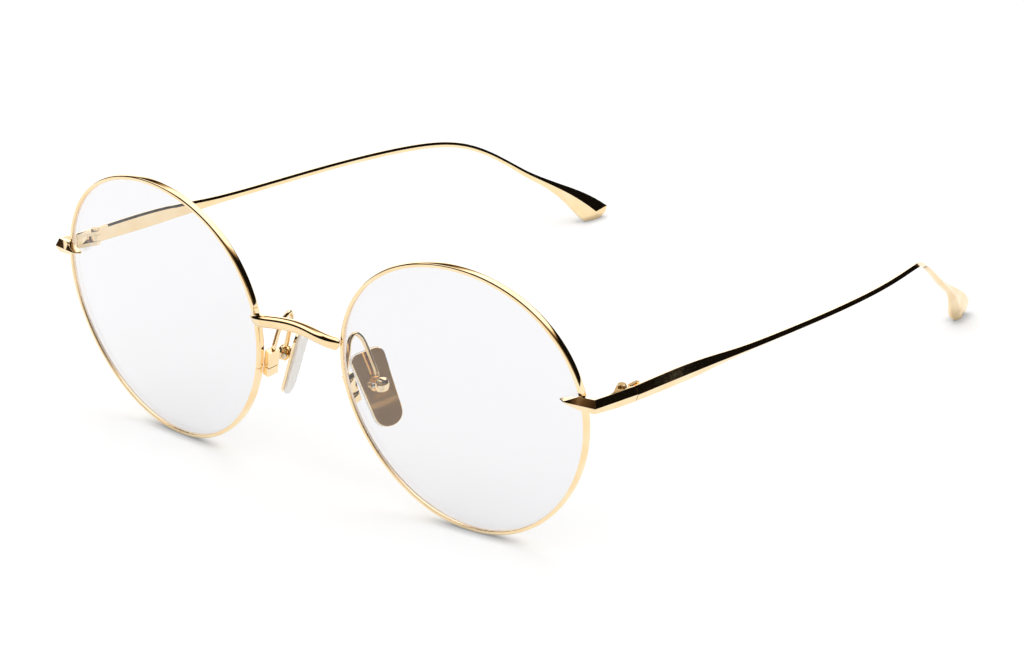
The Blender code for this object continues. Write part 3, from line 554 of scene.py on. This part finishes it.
bpy.ops.mesh.bevel(affect="VERTICES", offset=RIM_CORNER, segments=6, profile=0.5)
choose(rim, "EDGE", lambda e: all(near(end.x, outside) for end in edge_ends(rim, e)))
bpy.ops.mesh.subdivide(number_cuts=5)
bpy.ops.object.mode_set(mode="OBJECT")
for vertex in rim.data.vertices:
    outwards = max(0, (vertex.co.x - LENS_RADIUS) / RIM_WIDTH)
    vertex.co.x -= RIM_CROWN * outwards * (2 * vertex.co.z / RIM_DEPTH) ** 2
print("rim section:", len(rim.data.vertices), "points")

# %% [markdown]
# The section is spun almost all the way round. The edges that belong to one face only are then
# the two open ends, and each is closed with a face. The ring is turned to bring the opening to the
# nose side, moved onto the outline and the dome, and tilted into the front. The right rim is its
# mirror image.

# %% Spin the rim, close its ends and stand it up
gap_angle = SEAM_GAP / LENS_RADIUS
spin_round(rim, RIM_STEPS, 2 * math.pi - gap_angle)
bpy.ops.object.mode_set(mode="OBJECT")
counts = {}
for polygon in rim.data.polygons:
    for key in polygon.edge_keys:
        counts[key] = counts.get(key, 0) + 1
for at_start in (True, False):
    choose(
        rim, "EDGE",
        lambda e: counts.get(e.key) == 1
        and near(edge_ends(rim, e)[0].y, 0, HAIR) == at_start,
    )
    bpy.ops.mesh.edge_face_add()
    bpy.ops.object.mode_set(mode="OBJECT")
bpy.ops.object.mode_set(mode="EDIT")
close_up()
rim.data.transform(Matrix.Rotation(SEAM_ANGLE + gap_angle / 2, 4, "Z"))


def looks_inward(face):
    outwards = Vector((face.center.x, face.center.y, 0)).normalized()
    return face.normal.dot(outwards) < INWARD


inside = [looks_inward(face) for face in rim.data.polygons]
follow_outline(rim)
stand_in_place(rim, "rim_left")
shade(rim)
rim_right = mirrored(rim, "rim_wire_right")
shade(rim_right)
for side, piece in (("left", rim), ("right", rim_right)):
    finish_piece(piece, GOLD, "gold", "front", f"rim_{side}")
    piece.data.materials.append(GOLD_SATIN)
    for face, hidden in zip(piece.data.polygons, inside):
        face.material_index = int(hidden)
print("faces inside the groove:", sum(inside))

# %% [markdown]
# ## Lenses
# A lens is a thin domed disc whose edge is ground to a ridge, and the ridge sits in the rim's
# groove. The front and back faces need many rings, or the dome would show as flat bands in the
# reflections.

# %% Lens blank, spun and domed
LENS_FRONT = 0.30 * MM
LENS_BACK = 0.90 * MM
LENS_FIT = 0.01 * MM
LENS_RIDGE = 0.22 * MM
LENS_RINGS = 9
LENS_STEPS = 192
EDGE_FACING = 0.8  # a face that looks less to the front or back than this belongs to the edge

lens_edge = LENS_RADIUS - LENS_FIT
lens = wire_section("lens_disc_left", 0, lens_edge, -LENS_BACK, LENS_FRONT)
choose(lens, "EDGE", lambda e: all(near(end.x, 0) for end in edge_ends(lens, e)))
bpy.ops.mesh.delete(type="EDGE")
choose(lens, "EDGE", lambda e: near(*[end.z for end in edge_ends(lens, e)]))
bpy.ops.mesh.subdivide(number_cuts=LENS_RINGS)
choose(lens, "EDGE", lambda e: all(near(end.x, lens_edge) for end in edge_ends(lens, e)))
bpy.ops.mesh.subdivide(number_cuts=2)
third = (LENS_FRONT + LENS_BACK) / 3
shoulder = GROOVE_HALF - 2 * LENS_FIT
choose(lens, "VERT", lambda v: near(v.co.x, lens_edge) and near(v.co.z, LENS_FRONT - third))
bpy.ops.transform.translate(value=(LENS_RIDGE + LENS_FIT, 0, third - LENS_FRONT))
choose(lens, "VERT", lambda v: near(v.co.x, lens_edge) and near(v.co.z, third - LENS_BACK))
bpy.ops.transform.translate(value=(0, 0, LENS_BACK - third - shoulder))
spin_round(lens, LENS_STEPS)
close_up()
follow_outline(lens)
stand_in_place(lens, "lens_left")
shade(lens)
lens_right = mirrored(lens, "lens_disc_right")
shade(lens_right)
for side, piece in (("left", lens), ("right", lens_right)):
    finish_piece(piece, CLEAR, "lens", "front", f"lens_{side}")
    piece.data.materials.append(GROUND)
    for face in piece.data.polygons:
        if abs(face.normal.y) < EDGE_FACING:
            face.material_index = 1

# %% [markdown]
# ## Milled blocks, leaves and plates
# The end pieces, the hinge leaves, the lock blocks and the pad plates are milled or stamped, then
# tumbled, so their edges are round by a tenth of a millimetre or less. That small radius is what
# draws the bright lines along the edges of a polished block.
#
# The end pieces need one thing more. Their outer ridge runs round the corner, and there it stands
# out by a fifth of a millimetre, so that the upper face has the same slope before and behind it.

# %% The ridge at an end piece's corner
CORNER_REACH = 2.5 * MM  # an end piece turns its corner within this distance from its front
CORNER_OUT = 0.2 * MM


def draw_out_corner(piece, way):
    points = piece.data.vertices
    back = min(point.co.y for point in points) + CORNER_REACH
    reach = max(way * point.co.x for point in points if point.co.y < back)
    choose(piece, "VERT", lambda v: v.co.y < back and near(way * v.co.x, reach))
    bpy.ops.transform.translate(value=(way * CORNER_OUT, 0, 0))
    bpy.ops.object.mode_set(mode="OBJECT")
    print(piece.name, "drawn out at", round(reach / MM, 2), "mm from the middle")


# %% [markdown]
# The rest is the same for all of them: a copy, round edges, and the place on its body. The hinge
# screws are plated like the leaves that they join.

# %% Rigid pieces that keep the frame's shape, with round edges
FINE_EDGE = 0.045 * MM
SOFT_EDGE = 0.10 * MM
MILLED = {
    "end_piece": (SOFT_EDGE, "front"),
    "hinge_leaf_front": (SOFT_EDGE, "front"),
    "hinge_leaf_temple": (SOFT_EDGE, "{}_temple"),
    "hinge_screw": (FINE_EDGE, "front"),
    "rim_lock_upper": (SOFT_EDGE, "front"),
    "rim_lock_lower": (SOFT_EDGE, "front"),
    "pad_plate": (FINE_EDGE, "{}_pad"),
}

for kind, (edge, body) in MILLED.items():
    for side in SIDES:
        node_name = f"{kind}_{side}"
        piece = copy_of(node_name, f"{kind}_polished_{side}")
        if kind == "end_piece":
            draw_out_corner(piece, 1 if side == "left" else -1)
        round_edges(piece, edge)
        finish_piece(piece, GOLD, "gold", body.format(side), node_name)

# %% [markdown]
# The pad boxes are not milled but cast, and barrel-polished until they are round like pebbles. The
# copy is rebuilt from small cubes, drawn towards a ball about its own middle, and then smoothed,
# which wears its corners down evenly.

# %% Cast pad boxes
GRAIN = 0.07 * MM
ROUNDNESS = 0.8  # from the milled block at 0 to a ball at 1
WEAR = 12  # rounds of smoothing

for side in SIDES:
    block = copy_of(f"pad_box_{side}", f"pad_box_cast_{side}", dissolve=False)
    bpy.ops.object.origin_set(type="ORIGIN_GEOMETRY", center="BOUNDS")
    apply_modifier(block, "REMESH", mode="VOXEL", voxel_size=GRAIN)
    apply_modifier(block, "CAST", cast_type="SPHERE", factor=ROUNDNESS)
    apply_modifier(block, "SMOOTH", factor=0.5, iterations=WEAR)
    bpy.ops.object.transform_apply(location=True, rotation=True, scale=True)
    bpy.ops.object.shade_smooth()
    finish_piece(block, GOLD, "gold", "front", f"pad_box_{side}")

# %% [markdown]
# The small screws are turned from steel rod, which leaves the finest edge of all.

# %% Steel screws
for kind in ("rim_lock_screw", "pad_screw"):
    for side in SIDES:
        node_name = f"{kind}_{side}"
        piece = copy_of(node_name, f"{kind}_turned_{side}")
        round_edges(piece, FINE_EDGE)
        finish_piece(piece, STEEL, "steel", "front", node_name)

# %% [markdown]
# ## Wires and swaged bars
# The temples start as one wire that is pressed flat at both ends, so their faces run smoothly
# along their length but meet in crisp edges. In the frame they have only a few stations. The
# lengthwise edges are creased, and a subdivision surface then rounds the runs between stations
# and leaves the edges sharp.

# %% Creases and subdivision
QUAD_ANGLE = 40 * DEG
CREASE_ANGLE = 22 * DEG


def crease_sharp_edges(obj, angle, crispness):
    """Creases the edges where two faces meet at more than an angle."""
    mesh = obj.data
    normals = {}
    for polygon in mesh.polygons:
        for key in polygon.edge_keys:
            normals.setdefault(key, []).append(polygon.normal.copy())
    crease = mesh.attributes.get("crease_edge")
    crease = crease or mesh.attributes.new("crease_edge", "FLOAT", "EDGE")
    for edge in mesh.edges:
        pair = normals.get(edge.key, [])
        sharp = len(pair) != 2 or pair[0].angle(pair[1]) > angle
        crease.data[edge.index].value = crispness if sharp else 0.0


def swaged(node_name, name, levels, crispness=1.0, edge=0, ridges=CREASE_ANGLE, swell=0):
    """A copy that is swelled if asked, creased at its ridges, subdivided, and edged or shaded."""
    piece = copy_of(node_name, name, dissolve=False)
    if swell:
        apply_modifier(piece, "DISPLACE", strength=swell, mid_level=0.0)
    pick_only(piece)
    bpy.ops.object.mode_set(mode="EDIT")
    bpy.ops.mesh.select_all(action="SELECT")
    bpy.ops.mesh.tris_convert_to_quads(face_threshold=QUAD_ANGLE, shape_threshold=180 * DEG)
    bpy.ops.object.mode_set(mode="OBJECT")
    crease_sharp_edges(piece, ridges, crispness)
    apply_modifier(piece, "SUBSURF", levels=levels, render_levels=levels)
    if edge:
        round_edges(piece, edge)
    else:
        shade(piece)
    return piece


print("edges sharper than", round(CREASE_ANGLE / DEG), "degrees are creased")

# %% [markdown]
# The temples keep all their ridges. The pad arms are round wire, so only their cut ends stay
# sharp, and they are swelled first by what the subdivision takes off. The bridge's top is crowned,
# so only its steeper edges are ridges, and the tumbling has softened those.

# %% Temples, pad arms and bridge
LEVELS = 3
WIRE_ANGLE = 70 * DEG
ARM_SWELL = 0.05 * MM
CROWN_ANGLE = 45 * DEG
CRISP_RIDGE = 0.8  # how much of a ridge the tumbling leaves, from 0 to 1

for side in SIDES:
    temple = swaged(f"temple_{side}", f"temple_blade_{side}", LEVELS, edge=FINE_EDGE)
    finish_piece(temple, GOLD_DRAWN, "gold", f"{side}_temple", f"temple_{side}")
    arm = swaged(
        f"pad_arm_{side}", f"pad_arm_wire_{side}", LEVELS, ridges=WIRE_ANGLE, swell=ARM_SWELL
    )
    finish_piece(arm, GOLD, "gold", "front", f"pad_arm_{side}")
bridge = swaged("bridge", "bridge_bar", LEVELS, CRISP_RIDGE, ridges=CROWN_ANGLE)
finish_piece(bridge, GOLD, "gold", "front", "bridge")

# %% [markdown]
# ## Nose cushions
# The cushion that touches the nose is soft silicone, so nothing on it is sharp: the moulded form
# is rounded all over, and ribs across its face keep it from slipping.

# %% Cushions
CUSHION_EDGE = 0.25 * MM
CUSHION_ANGLE = 20 * DEG  # even the shallow edges of the cushion are rounded

for side in SIDES:
    cushion = copy_of(f"pad_cushion_{side}", f"pad_cushion_soft_{side}")
    round_edges(cushion, CUSHION_EDGE, segments=4, angle=CUSHION_ANGLE)
    shade(cushion)
    finish_piece(cushion, SILICONE, "silicone", f"{side}_pad", f"pad_cushion_{side}")

# %% [markdown]
# ## Floor and studio
# Polished metal is only as good as what it mirrors. The spectacles stand on a white sweep that
# runs up behind them, under a broad soft light, with the unlit room on the other sides. The room
# is what draws the dark stripes that make gold read as gold. All of this is in the world, so the
# plain soft light on matt surfaces stays the same whatever the metal reflects.
#
# The floor is matt white paper. Rays from the eye, a mirror or glass see it a little brighter than
# it is lit, so that it is white to the eye and still takes a shadow. Close to a foot, where the
# floor sees little but the piece that stands on it, a painted shadow darkens the paper's own colour
# towards a blue grey, on top of the shadow that the lamps cast.

# %% Floor that is white to the eye and still takes a shadow
FLOOR_SIZE = 4.0  # metres
FLOOR_WHITE = "#E7E7E7"
# the colour of the painted shadow that the paper takes close to a foot
FLOOR_PAINTED_SHADOW = "#4E555E"
FLOOR_LIFT = 0.28
CONTACT_REACH = 3.5 * MM
CONTACT_CLOSED = 0.25  # the open share of the sky at which the paper is darkest
CONTACT_OPEN = 0.85  # and at which it is white

bpy.ops.object.select_all(action="DESELECT")
bpy.ops.mesh.primitive_plane_add(size=FLOOR_SIZE, location=(0, 0, 0))
floor = bpy.context.object
floor.name = "floor"
made, tree, shader, _ = new_material("white_paper_sweep")
# painted shadow: where little of the sky is open, the paper's colour is mixed towards dark blue
# grey
open_sky = add(tree, "AmbientOcclusion", {"Distance": CONTACT_REACH}, samples=16)
painted_shadow = add(
    tree, "MapRange", {"From Min": CONTACT_CLOSED, "From Max": CONTACT_OPEN},
    {"Value": open_sky.outputs["AO"]},
)
paper = add(
    tree, "Mix", {"A": linear(FLOOR_PAINTED_SHADOW), "B": linear(FLOOR_WHITE)},
    {"Factor": painted_shadow.outputs["Result"]}, data_type="RGBA",
)
tree.links.new(paper.outputs["Result"], shader.inputs["Base Color"])
shader.inputs["Roughness"].default_value = 0.9
shader.inputs["Specular IOR Level"].default_value = 0.0
path = add(tree, "LightPath")
seen = path.outputs["Is Camera Ray"]
for ray in ("Is Glossy Ray", "Is Transmission Ray"):
    seen = add(tree, "Math", {}, {0: seen, 1: path.outputs[ray]}, operation="MAXIMUM").outputs[0]
lift = add(tree, "Math", {1: FLOOR_LIFT}, {0: seen}, operation="MULTIPLY")
tree.links.new(lift.outputs[0], shader.inputs["Emission Strength"])
shader.inputs["Emission Color"].default_value = (1, 1, 1, 1)
floor.data.materials.append(made)
print("floor:", FLOOR_SIZE, "m wide, darker within", round(CONTACT_REACH / MM, 1), "mm of a foot")

# %% [markdown]
# The room is drawn from a few soft patches of light. Each row holds the way to a patch, how well a
# direction must point to it for the patch to begin and to be full, its brightness, and the heights
# between which it starts or stops. Where two patches meet, the brighter one shows.

# %% Patches of light in the room
ANY_HEIGHT = (-2, -1, 0, 1)
ROOM_PATCHES = {
    "soft light above": ((0, 0.55, 0.835), 0.72, 0.90, 1.0, (0.50, 0.56, 0, 1)),
    "small high window": ((-0.6, 0, 0.8), 0.92, 0.97, 1.0, ANY_HEIGHT),
    "white sweep behind": ((-0.707, 0.707, 0), 0.78, 0.92, 1.0, (0.30, 0.52, 1, 0)),
    "lighter side of the room": ((-0.2, -0.98, 0), 0.3, 0.9, 0.36, (0.15, 0.45, 1, 0)),
    "dim wall to one side": ((0.97, -0.24, 0), 0.75, 0.95, 0.42, (0.40, 0.70, 1, 0)),
    "warm wooden bench in front": ((0.594, -0.713, 0.371), 0.85, 0.97, 0.5, ANY_HEIGHT),
}

world = bpy.data.worlds.new("studio")
bpy.context.scene.world = world
world.use_nodes = True
tree = world.node_tree
heading = add(tree, "TexCoord").outputs["Generated"]
height = add(tree, "SeparateXYZ", {}, {0: heading}).outputs["Z"]
level = None
for towards, begins, full, share, (low, high, below, above) in ROOM_PATCHES.values():
    facing = add(tree, "VectorMath", {1: towards}, {0: heading}, operation="DOT_PRODUCT")
    patch = add(
        tree, "MapRange", {"From Min": begins, "From Max": full, "To Max": share},
        {"Value": facing.outputs["Value"]}, interpolation_type="SMOOTHSTEP",
    ).outputs["Result"]
    shutter = add(
        tree, "MapRange", {"From Min": low, "From Max": high, "To Min": below, "To Max": above},
        {"Value": height}, interpolation_type="SMOOTHSTEP",
    ).outputs["Result"]
    lit = add(tree, "Math", {}, {0: patch, 1: shutter}, operation="MULTIPLY").outputs[0]
    if level is None:
        level = lit
    else:
        level = add(tree, "Math", {}, {0: level, 1: lit}, operation="MAXIMUM").outputs[0]
print("room:", ", ".join(ROOM_PATCHES))

# %% [markdown]
# The level of light becomes a tone, from the unlit room through brown and tan to white, and the
# whitest parts glow a little more than white, as a light does next to paper. Below the horizon
# the metal sees the white table. Only mirror rays see the room at all: the eye and the glass see
# plain white, and everything else is lit evenly from all round.

# %% World: soft white light, and the room that the metal mirrors
ROOM_TONES = ((0, "#12100E"), (0.3, "#5C4630"), (0.6, "#BFA680"), (0.85, "#F6EEE0"), (1, "#FFFFFF"))
GLOW_FROM = 0.8  # the level above which a patch glows
GLOW_MOST = 1.6
HORIZON = 0.01
SKY = 0.65  # plain light from all round
WHITE = (1, 1, 1, 1)

tones = add(tree, "ValToRGB", {}, {"Fac": level})
stops = tones.color_ramp.elements
for position, code in ROOM_TONES[1:-1]:
    stops.new(position)
for stop, (position, code) in zip(stops, ROOM_TONES):
    stop.position = position
    stop.color = linear(code)
strength = add(
    tree, "MapRange", {"From Min": GLOW_FROM, "To Min": 1.0, "To Max": GLOW_MOST},
    {"Value": level},
)
glow = add(
    tree, "VectorMath", {}, {0: tones.outputs["Color"], "Scale": strength.outputs["Result"]},
    operation="SCALE",
)
under = add(
    tree, "MapRange", {"From Min": -HORIZON, "From Max": HORIZON, "To Min": 1, "To Max": 0},
    {"Value": height}, interpolation_type="SMOOTHSTEP",
)
mirrored_room = add(
    tree, "Mix", {"B": WHITE}, {"Factor": under.outputs["Result"], "A": glow.outputs["Vector"]},
    data_type="RGBA",
)
path = add(tree, "LightPath")
seen = add(
    tree, "Math", {}, {0: path.outputs["Is Camera Ray"], 1: path.outputs["Is Transmission Ray"]},
    operation="MAXIMUM",
)
plain = add(
    tree, "Mix", {"A": (SKY, SKY, SKY, 1), "B": WHITE}, {"Factor": seen.outputs[0]},
    data_type="RGBA",
)
shown = add(
    tree, "Mix", {},
    {
        "Factor": path.outputs["Is Glossy Ray"],
        "A": plain.outputs["Result"],
        "B": mirrored_room.outputs["Result"],
    },
    data_type="RGBA",
)
background = tree.nodes["Background"]
tree.links.new(shown.outputs["Result"], background.inputs["Color"])
background.inputs["Strength"].default_value = 1.0
print("plain light from all round:", SKY)

# %% [markdown]
# The rest of the light comes from a broad softbox above, so that the rims and the temple ends cast
# a soft shadow. A sun with a wide angle stands for it, because its light is the same everywhere.
# Its strength is set so that, with the light from all round, a level surface gets about 1.

# %% Softbox above, for the shadows under the rims and the temple ends
SOFTBOX = 0.35
SOFTBOX_ANGLE = 80 * DEG

softbox_light = bpy.data.lights.new("softbox_above", "SUN")
softbox_light.energy = SOFTBOX * math.pi
softbox_light.angle = SOFTBOX_ANGLE
softbox = bpy.data.objects.new("softbox_above", softbox_light)
softbox.visible_glossy = False
bpy.context.scene.collection.objects.link(softbox)
print("light on a level surface:", SKY + SOFTBOX)

# %% [markdown]
# ## Camera
# The spectacles are looked at from the wearer's left front and above, through a long lens, so the
# far side is hardly smaller than the near one.

# %% Camera at the picture's viewpoint
CAMERA_PLACE = Vector((444.708, -545.965, 289.876)) * MM
CAMERA_AZIMUTH = 39.8144 * DEG
CAMERA_HEIGHT = 21.7515 * DEG
CAMERA_ROLL = -0.8331 * DEG
CAMERA_LENS = 139.68

level_share = math.cos(CAMERA_HEIGHT)
back = Vector(
    (
        math.sin(CAMERA_AZIMUTH) * level_share,
        -math.cos(CAMERA_AZIMUTH) * level_share,
        math.sin(CAMERA_HEIGHT),
    )
)
right = Vector((math.cos(CAMERA_AZIMUTH), math.sin(CAMERA_AZIMUTH), 0))
up = back.cross(right)
turned_right = right * math.cos(CAMERA_ROLL) + up * math.sin(CAMERA_ROLL)
turned_up = up * math.cos(CAMERA_ROLL) - right * math.sin(CAMERA_ROLL)
turn = Matrix((turned_right, turned_up, back)).transposed().to_4x4()
camera_data = bpy.data.cameras.new("camera")
camera_data.lens = CAMERA_LENS
camera = bpy.data.objects.new("camera", camera_data)
camera.matrix_world = Matrix.Translation(CAMERA_PLACE) @ turn
bpy.context.scene.collection.objects.link(camera)
bpy.context.scene.camera = camera
bpy.context.scene.view_settings.view_transform = "Standard"
print("camera:", round(CAMERA_PLACE.length / MM), "mm away, with a lens of", CAMERA_LENS, "mm")
